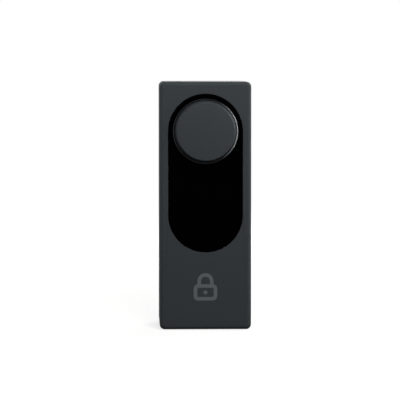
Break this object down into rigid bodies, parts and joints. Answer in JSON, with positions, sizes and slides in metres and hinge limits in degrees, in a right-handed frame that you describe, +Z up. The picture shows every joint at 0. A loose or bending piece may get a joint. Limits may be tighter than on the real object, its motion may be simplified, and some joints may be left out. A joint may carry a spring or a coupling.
{
  "type": "keypad smart lock",
  "caption": "Motorised door lock: indoor drive unit with a turning knob, a euro-profile cylinder through the door, and an outdoor keypad unit.",
  "frame": {"origin": "where the cylinder's axis meets the door's inner face", "axes": "+Z up, +Y along the cylinder towards the outdoor side, +X to the right seen from indoors; the indoor unit's front faces -Y"},
  "size_m": [0.0536, 0.144, 0.145],
  "materials": {
    "slate_shell": "matt, fine grain",
    "slate_knob": "matt bead-blasted",
    "knob_trim": "polished dark chrome",
    "fascia_gloss": "piano black",
    "mark_grey": "matt printed grey",
    "nickel_magnet": "nickel plated",
    "magnet_black": "bonded ferrite",
    "shaft_steel": "ground",
    "bearing_steel": "ground and polished",
    "screw_steel": "zinc plated",
    "gear_polymer": "natural acetal",
    "pinion_brass": "machined",
    "motor_steel": "drawn can",
    "motor_end_plastic": "moulded",
    "foam_black": "closed-cell foam",
    "seal_rubber": "moulded",
    "plate_aluminium": "bead-blasted",
    "frame_plastic": "moulded, fine texture",
    "board_green": "solder mask",
    "component_black": "moulded",
    "shield_tin": "tinned",
    "button_black": "moulded",
    "cell_wrap": "shrink sleeve",
    "contact_nickel": "nickel plated",
    "cylinder_nickel": "satin nickel on brass",
    "rotor_brass": "turned",
    "cam_steel": "sintered",
    "guide_clear": "frosted",
    "pad_face_black": "satin black",
    "pad_gloss_black": "gloss black",
    "lock_screw_steel": "stainless"
  },
  "bodies": {
    "lock_frame": {"chassis_magnets": "nickel_magnet", "gear_axles": "shaft_steel", "bridge_pins": "shaft_steel", "cylinder_bridge": "shaft_steel", "bearing_outer": "bearing_steel", "bearing_balls": "bearing_steel", "chassis_screws": "screw_steel", "gearbox_screws": "screw_steel", "cylinder_clamp_screws": "screw_steel", "keypad_screws": "screw_steel", "driver_pins": "pinion_brass", "motor_can": "motor_steel", "motor_end_cap": "motor_end_plastic", "plate_gasket": "foam_black", "keypad_gasket": "seal_rubber", "mounting_plate": "plate_aluminium", "chassis": "frame_plastic", "gearbox_cover": "frame_plastic", "battery_tray": "frame_plastic", "keypad_carrier": "frame_plastic", "keypad_base": "frame_plastic", "main_board": "board_green", "sensor_board": "board_green", "keypad_control_board": "board_green", "touch_board": "board_green", "board_components": "component_black", "setup_switch": "component_black", "radio_module": "shield_tin", "battery_cells_front": "cell_wrap", "battery_cells_rear": "cell_wrap", "keypad_cell": "cell_wrap", "battery_contacts": "contact_nickel", "keypad_cell_contacts": "contact_nickel", "cylinder_inner_body": "cylinder_nickel", "cylinder_outer_body": "cylinder_nickel", "light_guide": "guide_clear", "keypad_face": "pad_face_black", "keypad_housing": "pad_gloss_black", "housing_lock_screw": "lock_screw_steel"},
    "cover": {"front_shell": "slate_shell", "shell_magnets": "nickel_magnet", "fascia_panel": "fascia_gloss", "lock_mark": "mark_grey"},
    "knob": {"knob_body": "slate_knob", "knob_cap": "slate_knob", "knob_trim_ring": "knob_trim", "shaft_fasteners": "screw_steel", "drive_shaft": "shaft_steel", "position_magnet": "magnet_black", "bearing_inner": "bearing_steel", "main_gear": "gear_polymer", "cylinder_inner_rotor": "rotor_brass", "cylinder_clips": "screw_steel", "cylinder_cam": "cam_steel"},
    "gear_two": {"second_gear": "gear_polymer"},
    "gear_one": {"first_gear": "gear_polymer"},
    "motor_rotor": {"motor_pinion": "pinion_brass", "motor_shaft": "shaft_steel"},
    "setup_plunger": {"setup_button": "button_black"},
    "keyed_plug": {"key_plug": "rotor_brass"}
  },
  "joints": [
    {"name": "cover_slide", "type": "slide", "parent": "lock_frame", "child": "cover", "axis": [0, -1, 0], "range_m": [0, 0.06]},
    {"name": "knob_turn", "type": "hinge", "parent": "lock_frame", "child": "knob", "pos_m": [0, 0, 0], "axis": [0, 1, 0], "continuous": true},
    {"name": "gear_two_turn", "type": "hinge", "parent": "lock_frame", "child": "gear_two", "pos_m": [0, 0, -0.0248], "axis": [0, 1, 0], "continuous": true},
    {"name": "gear_one_turn", "type": "hinge", "parent": "lock_frame", "child": "gear_one", "pos_m": [0, 0, -0.0404], "axis": [0, 1, 0], "continuous": true},
    {"name": "motor_turn", "type": "hinge", "parent": "lock_frame", "child": "motor_rotor", "pos_m": [0, 0, -0.0534], "axis": [0, 1, 0], "continuous": true},
    {"name": "setup_press", "type": "slide", "parent": "lock_frame", "child": "setup_plunger", "axis": [0, 1, 0], "range_m": [0, 0.0004], "stiffness_N_per_m": 400},
    {"name": "key_turn", "type": "hinge", "parent": "lock_frame", "child": "keyed_plug", "pos_m": [0, 0, 0], "axis": [0, 1, 0], "continuous": true}
  ],
  "couplings": [
    {"joint": "gear_two_turn", "follows": "knob_turn", "ratio": -4.1667},
    {"joint": "gear_one_turn", "follows": "knob_turn", "ratio": 13.889},
    {"joint": "motor_turn", "follows": "knob_turn", "ratio": -46.296}
  ]
}
